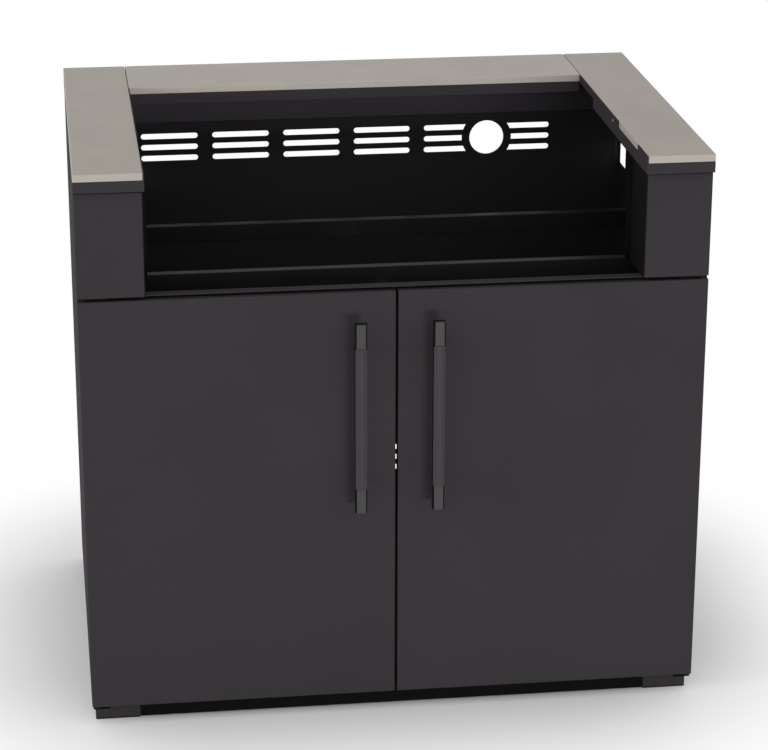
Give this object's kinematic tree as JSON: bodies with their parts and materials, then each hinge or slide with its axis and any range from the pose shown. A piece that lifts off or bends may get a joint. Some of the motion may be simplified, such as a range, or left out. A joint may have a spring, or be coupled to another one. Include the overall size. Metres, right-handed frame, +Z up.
{
  "type": "grill cabinet",
  "caption": "Outdoor kitchen grill cabinet: folded steel carcass with hinged doors, bar handles and a stone worktop around an open bay that takes a drop-in grill.",
  "frame": {"origin": "on the floor, at the middle of the footprint box from the handle fronts to the worktop's back edge", "axes": "+X to the right as seen from the front, +Y from the front to the back, +Z up"},
  "size_m": [1, 0.734, 0.936],
  "materials": {
    "powder_coat": "fine-textured anthracite powder coat",
    "stone": "honed warm grey sintered stone",
    "matt_black": "matt black",
    "rail_black": "satin black powder coat",
    "handle_plate": "dark anodised, satin",
    "handle_grip": "dark anodised, fine vertical grain",
    "zinc_steel": "zinc plated",
    "black_screw": "black coated",
    "magnet": "plain",
    "black_plastic": "moulded",
    "rubber": "matt"
  },
  "bodies": {
    "cabinet": {"left_worktop": "stone", "right_worktop": "stone", "left_worktop_tray": "powder_coat", "right_worktop_tray": "powder_coat", "left_side_panel": "powder_coat", "right_side_panel": "powder_coat", "left_post_cover": "powder_coat", "right_post_cover": "powder_coat", "left_lower_hinge_bracket": "matt_black", "right_lower_hinge_bracket": "matt_black", "left_upper_hinge_bracket": "matt_black", "right_upper_hinge_bracket": "matt_black", "left_door_catch": "black_plastic", "right_door_catch": "black_plastic", "rear_worktop": "stone", "rear_worktop_tray": "powder_coat", "slab_clamp_screws": "zinc_steel", "base_panel": "powder_coat", "base_rails": "powder_coat", "hinge_pins": "black_screw", "upper_back_panel": "powder_coat", "lower_back_panel": "powder_coat", "back_panel_screws": "black_screw", "front_top_rail": "powder_coat", "rear_top_rail": "powder_coat", "front_support_rail": "rail_black", "rear_support_rail": "rail_black", "rail_brackets": "rail_black", "support_rail_screws": "zinc_steel", "front_right_foot": "powder_coat", "front_left_foot": "powder_coat", "rear_right_foot": "powder_coat", "rear_left_foot": "powder_coat", "foot_glides": "black_plastic", "foot_screws": "zinc_steel", "base_skirt": "matt_black", "hinge_screws": "zinc_steel", "catch_magnets": "magnet"},
    "left_door": {"left_door_skin": "powder_coat", "left_door_liner": "powder_coat", "left_handle_bar": "matt_black", "left_handle_grip": "handle_grip", "left_handle_end_plates": "handle_plate", "left_handle_legs": "matt_black", "left_handle_screws": "zinc_steel", "left_hinge_bushes": "black_plastic", "left_pivot_blocks": "black_plastic", "left_strike_plate": "zinc_steel", "left_door_bumpers": "rubber"},
    "right_door": {"right_door_skin": "powder_coat", "right_door_liner": "powder_coat", "right_handle_bar": "matt_black", "right_handle_grip": "handle_grip", "right_handle_end_plates": "handle_plate", "right_handle_legs": "matt_black", "right_handle_screws": "zinc_steel", "right_hinge_bushes": "black_plastic", "right_pivot_blocks": "black_plastic", "right_strike_plate": "zinc_steel", "right_door_bumpers": "rubber"}
  },
  "joints": [
    {"name": "left_door_hinge", "type": "hinge", "parent": "cabinet", "child": "left_door", "pos_m": [-0.4915, -0.314, 0.38], "axis": [0, 0, -1], "range_deg": [0, 110]},
    {"name": "right_door_hinge", "type": "hinge", "parent": "cabinet", "child": "right_door", "pos_m": [0.4915, -0.314, 0.38], "axis": [0, 0, 1], "range_deg": [0, 110]}
  ]
}
